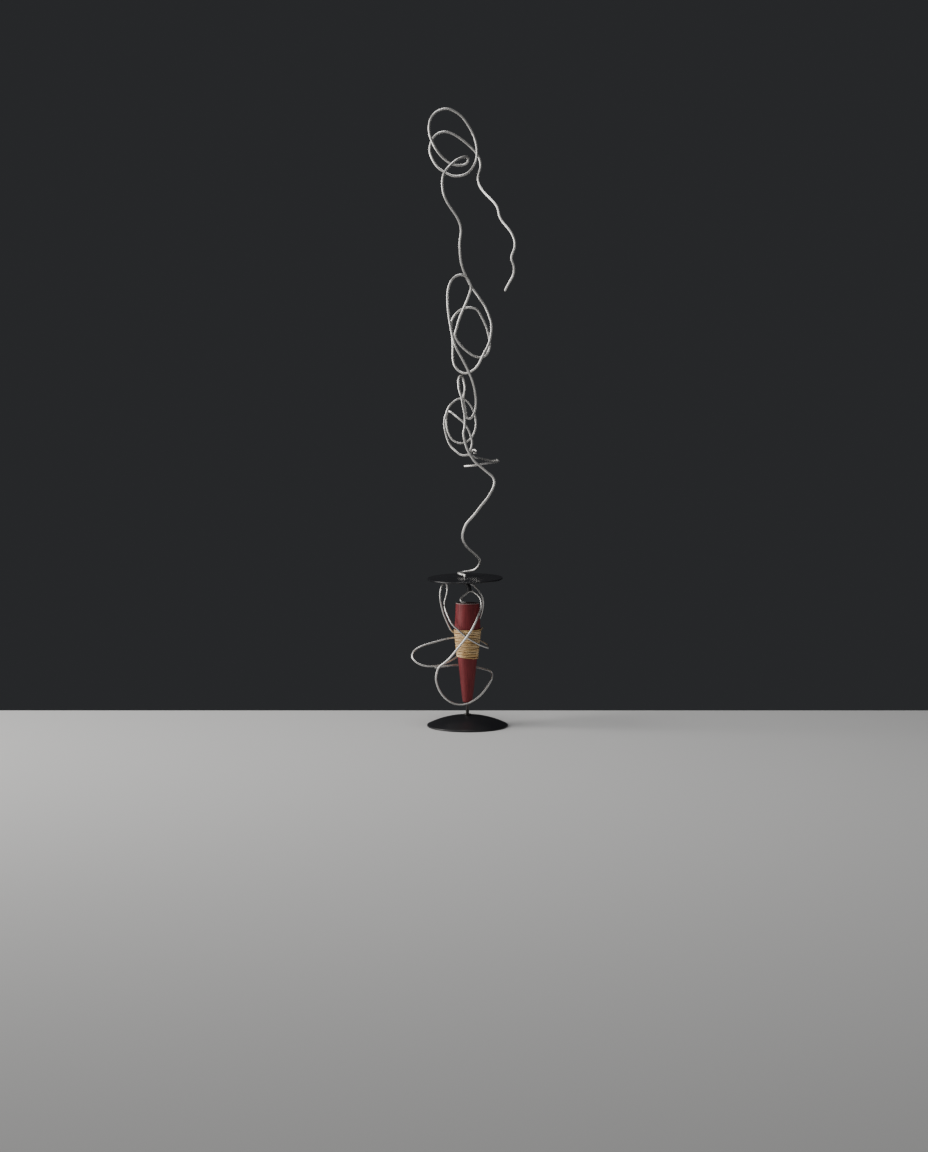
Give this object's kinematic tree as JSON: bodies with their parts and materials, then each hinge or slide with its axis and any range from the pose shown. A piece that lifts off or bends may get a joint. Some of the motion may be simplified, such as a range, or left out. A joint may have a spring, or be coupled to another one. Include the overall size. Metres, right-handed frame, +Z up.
{
  "type": "candle holder sculpture",
  "caption": "Tall wire candle holder: a domed steel base and rod carry a bound wooden cone, bent wires hold up a candle pan, and looped wires rise from it like smoke.",
  "frame": {"origin": "centre of the base's flat underside, on the floor", "axes": "+Z up along the rod and cone; -Y towards the side that the picture shows"},
  "size_m": [0.2092, 0.162, 1.2394],
  "materials": {
    "black_paint": "smooth black paint with a soft gloss",
    "dark_steel": "darkened steel",
    "red_wood": "turned wood with a dark red stain",
    "cane": "plain split cane, matt",
    "bright_steel": "bright satin steel wire"
  },
  "bodies": {
    "root": {"base": "black_paint", "pan": "black_paint", "pan_stub": "black_paint", "collar": "dark_steel", "rod": "dark_steel", "cone": "red_wood", "binding": "cane", "smoke_wire": "bright_steel", "ring_wire": "bright_steel", "lower_wire_front": "bright_steel", "lower_wire_back": "bright_steel"}
  },
  "joints": []
}
